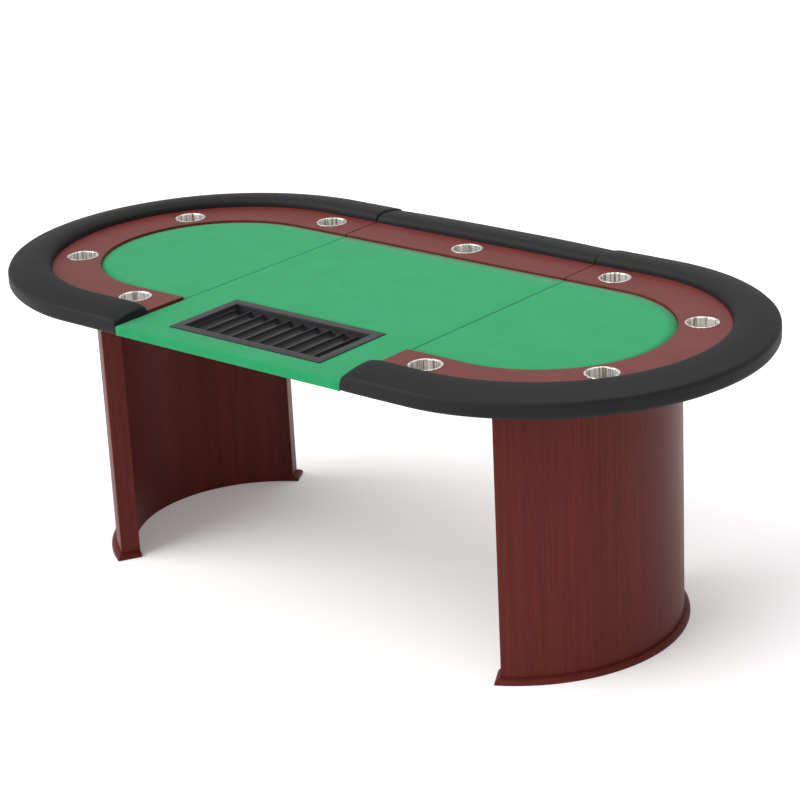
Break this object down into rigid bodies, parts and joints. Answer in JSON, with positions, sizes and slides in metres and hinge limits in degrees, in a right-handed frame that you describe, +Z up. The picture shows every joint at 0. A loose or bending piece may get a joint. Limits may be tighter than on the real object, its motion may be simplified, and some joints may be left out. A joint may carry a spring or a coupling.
{
  "type": "gaming table",
  "caption": "Oval card table in sections, with padded rail, green felt, veneered racetrack, drop-in cup holders, a dealer's chip tray and curved panel legs.",
  "frame": {"origin": "on the floor under the centre of the table", "axes": "+X along the length, -Y towards the dealer's side, +Z up"},
  "size_m": [2.096, 1.067, 0.768],
  "materials": {
    "deck_board": "raw fibreboard",
    "foam": "closed-cell foam",
    "felt": "napped green cloth",
    "mahogany": "satin mahogany laminate",
    "leg_mahogany": "satin gloss mahogany veneer",
    "core_wood": "raw plywood",
    "dowel_wood": "turned beech",
    "black_vinyl": "soft grained vinyl",
    "stainless": "spun and polished",
    "tray_plastic": "moulded satin black",
    "zinc_steel": "zinc plated"
  },
  "bodies": {
    "table": {"left_deck": "deck_board", "left_foam": "foam", "left_felt": "felt", "left_racetrack": "mahogany", "left_rail_core": "core_wood", "left_rail_pad": "black_vinyl", "middle_deck": "deck_board", "middle_foam": "foam", "middle_felt": "felt", "middle_racetrack": "mahogany", "middle_rail_core": "core_wood", "middle_rail_pad": "black_vinyl", "right_deck": "deck_board", "right_foam": "foam", "right_felt": "felt", "right_racetrack": "mahogany", "right_rail_core": "core_wood", "right_rail_pad": "black_vinyl", "left_batten": "core_wood", "middle_battens": "core_wood", "right_batten": "core_wood", "left_leg_outer_skin": "leg_mahogany", "left_leg_inner_skin": "leg_mahogany", "left_leg_end_posts": "leg_mahogany", "left_leg_moulding": "leg_mahogany", "left_leg_ribs": "core_wood", "left_leg_top_plate": "core_wood", "left_leg_base_plate": "core_wood", "left_leg_cleat": "core_wood", "left_leg_bolts": "zinc_steel", "right_leg_outer_skin": "leg_mahogany", "right_leg_inner_skin": "leg_mahogany", "right_leg_end_posts": "leg_mahogany", "right_leg_moulding": "leg_mahogany", "right_leg_ribs": "core_wood", "right_leg_top_plate": "core_wood", "right_leg_base_plate": "core_wood", "right_leg_cleat": "core_wood", "right_leg_bolts": "zinc_steel", "section_dowels": "dowel_wood", "rail_screws": "zinc_steel", "batten_screws": "zinc_steel", "lock_bases": "zinc_steel", "lock_keepers": "zinc_steel"},
    "cup_1": {"cup_holder_1": "stainless"},
    "cup_2": {"cup_holder_2": "stainless"},
    "cup_3": {"cup_holder_3": "stainless"},
    "cup_4": {"cup_holder_4": "stainless"},
    "cup_5": {"cup_holder_5": "stainless"},
    "cup_6": {"cup_holder_6": "stainless"},
    "cup_7": {"cup_holder_7": "stainless"},
    "cup_8": {"cup_holder_8": "stainless"},
    "cup_9": {"cup_holder_9": "stainless"},
    "tray": {"chip_tray": "tray_plastic"},
    "lock_1": {"lock_arm_1": "zinc_steel"},
    "lock_2": {"lock_arm_2": "zinc_steel"},
    "lock_3": {"lock_arm_3": "zinc_steel"},
    "lock_4": {"lock_arm_4": "zinc_steel"}
  },
  "joints": [
    {"name": "cup_1_lift", "type": "slide", "parent": "table", "child": "cup_1", "axis": [0, 0, 1], "range_m": [0, 0.1]},
    {"name": "cup_2_lift", "type": "slide", "parent": "table", "child": "cup_2", "axis": [0, 0, 1], "range_m": [0, 0.1]},
    {"name": "cup_3_lift", "type": "slide", "parent": "table", "child": "cup_3", "axis": [0, 0, 1], "range_m": [0, 0.1]},
    {"name": "cup_4_lift", "type": "slide", "parent": "table", "child": "cup_4", "axis": [0, 0, 1], "range_m": [0, 0.1]},
    {"name": "cup_5_lift", "type": "slide", "parent": "table", "child": "cup_5", "axis": [0, 0, 1], "range_m": [0, 0.1]},
    {"name": "cup_6_lift", "type": "slide", "parent": "table", "child": "cup_6", "axis": [0, 0, 1], "range_m": [0, 0.1]},
    {"name": "cup_7_lift", "type": "slide", "parent": "table", "child": "cup_7", "axis": [0, 0, 1], "range_m": [0, 0.1]},
    {"name": "cup_8_lift", "type": "slide", "parent": "table", "child": "cup_8", "axis": [0, 0, 1], "range_m": [0, 0.1]},
    {"name": "cup_9_lift", "type": "slide", "parent": "table", "child": "cup_9", "axis": [0, 0, 1], "range_m": [0, 0.1]},
    {"name": "tray_lift", "type": "slide", "parent": "table", "child": "tray", "axis": [0, 0, 1], "range_m": [0, 0.08]},
    {"name": "lock_1_swing", "type": "hinge", "parent": "table", "child": "lock_1", "pos_m": [-0.32433, -0.18, 0.6805], "axis": [0, 0, 1], "range_deg": [0, 90]},
    {"name": "lock_2_swing", "type": "hinge", "parent": "table", "child": "lock_2", "pos_m": [-0.32433, 0.18, 0.6805], "axis": [0, 0, -1], "range_deg": [0, 90]},
    {"name": "lock_3_swing", "type": "hinge", "parent": "table", "child": "lock_3", "pos_m": [0.32433, -0.18, 0.6805], "axis": [0, 0, -1], "range_deg": [0, 90]},
    {"name": "lock_4_swing", "type": "hinge", "parent": "table", "child": "lock_4", "pos_m": [0.32433, 0.18, 0.6805], "axis": [0, 0, 1], "range_deg": [0, 90]}
  ]
}
